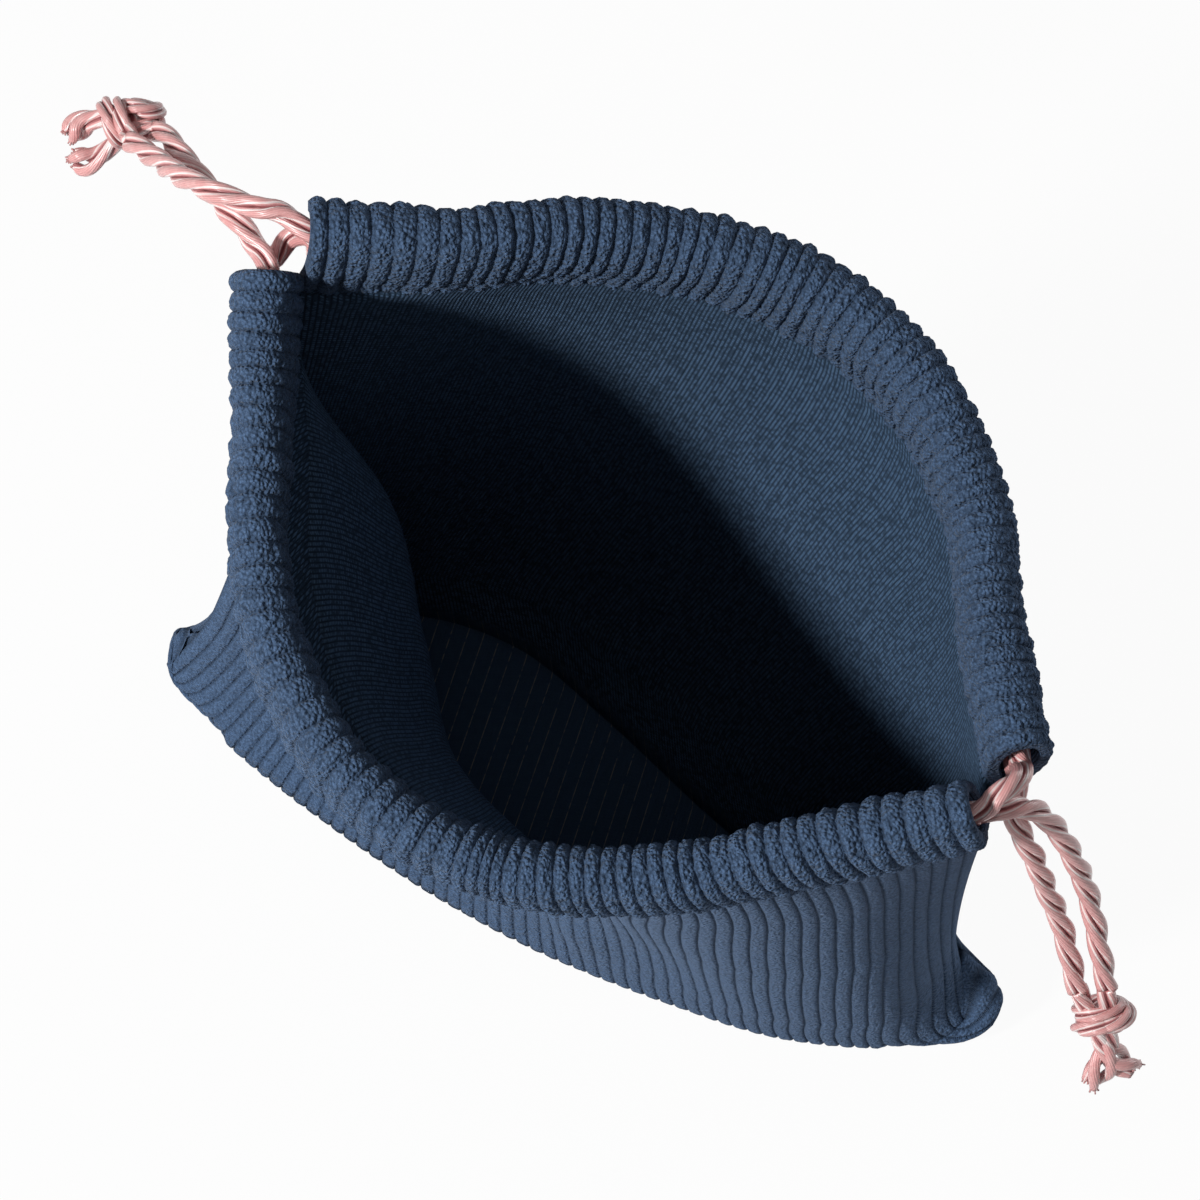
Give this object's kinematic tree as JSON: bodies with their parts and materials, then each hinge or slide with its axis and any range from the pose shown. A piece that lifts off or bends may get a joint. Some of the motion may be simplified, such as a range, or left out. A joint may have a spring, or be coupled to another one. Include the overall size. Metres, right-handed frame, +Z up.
{
  "type": "kinchaku drawstring pouch",
  "caption": "Wide wale corduroy drawstring pouch that stands open on a folded boat-shaped base, with twisted cords through casings at its mouth, knotted at the sides.",
  "frame": {"origin": "on the floor under the base, midway between the two side corners of the folded base", "axes": "+Z up, from the base to the mouth; +X across the panel towards the right-hand side seam; the front faces -Y"},
  "size_m": [0.2479, 0.1294, 0.201],
  "materials": {
    "corduroy": "navy cotton corduroy with wide ribs, matt pile outside and a plain woven back inside",
    "cord": "pink twisted rayon cord with a silky sheen"
  },
  "bodies": {
    "root": {"pouch": "corduroy", "drawcord_left": "cord", "drawcord_right": "cord", "knot_left": "cord", "knot_right": "cord"}
  },
  "joints": []
}
